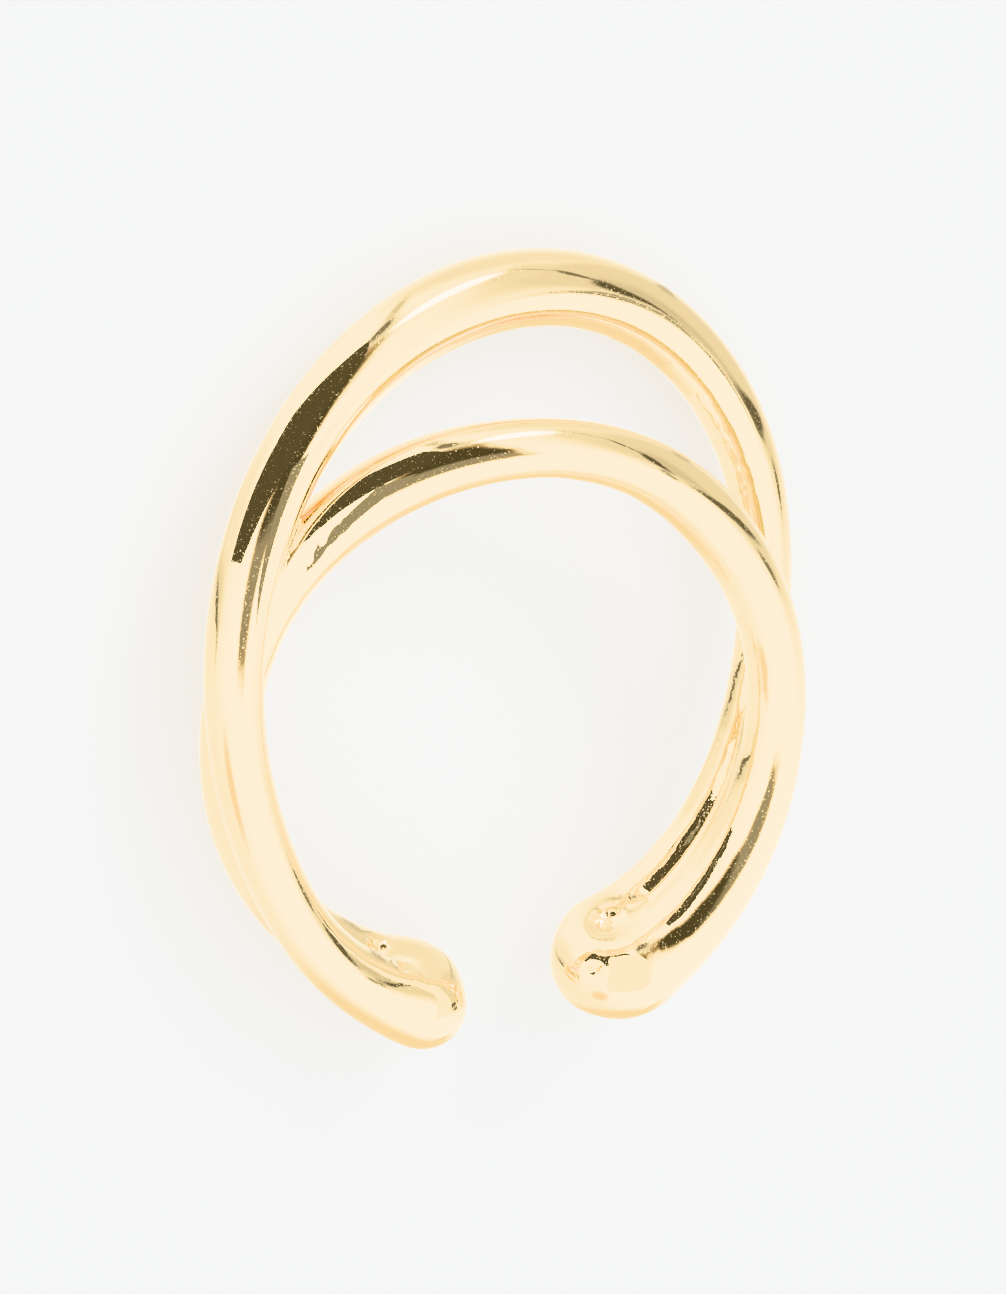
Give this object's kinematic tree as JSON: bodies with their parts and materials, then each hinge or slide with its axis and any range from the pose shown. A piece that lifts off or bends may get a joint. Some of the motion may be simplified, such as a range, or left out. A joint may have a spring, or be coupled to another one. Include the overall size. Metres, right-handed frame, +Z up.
{
  "type": "adjustable open ring",
  "caption": "Open finger ring of polished gold-tone metal, with a raised outer bar that crosses a slimmer inner bar and merges with it at both rounded tips.",
  "frame": {"origin": "middle of the ring's box at its lowest point, as it lies on its side on a table", "axes": "+Z up, close to the finger's axis; +Y towards the raised top of the ring, with the gap between the tips towards -Y; +X to the right of the pictured face"},
  "size_m": [0.0226, 0.0262, 0.006],
  "materials": {
    "gold_plate": "mirror-polished pale gold plating"
  },
  "bodies": {
    "root": {"ring": "gold_plate"}
  },
  "joints": []
}
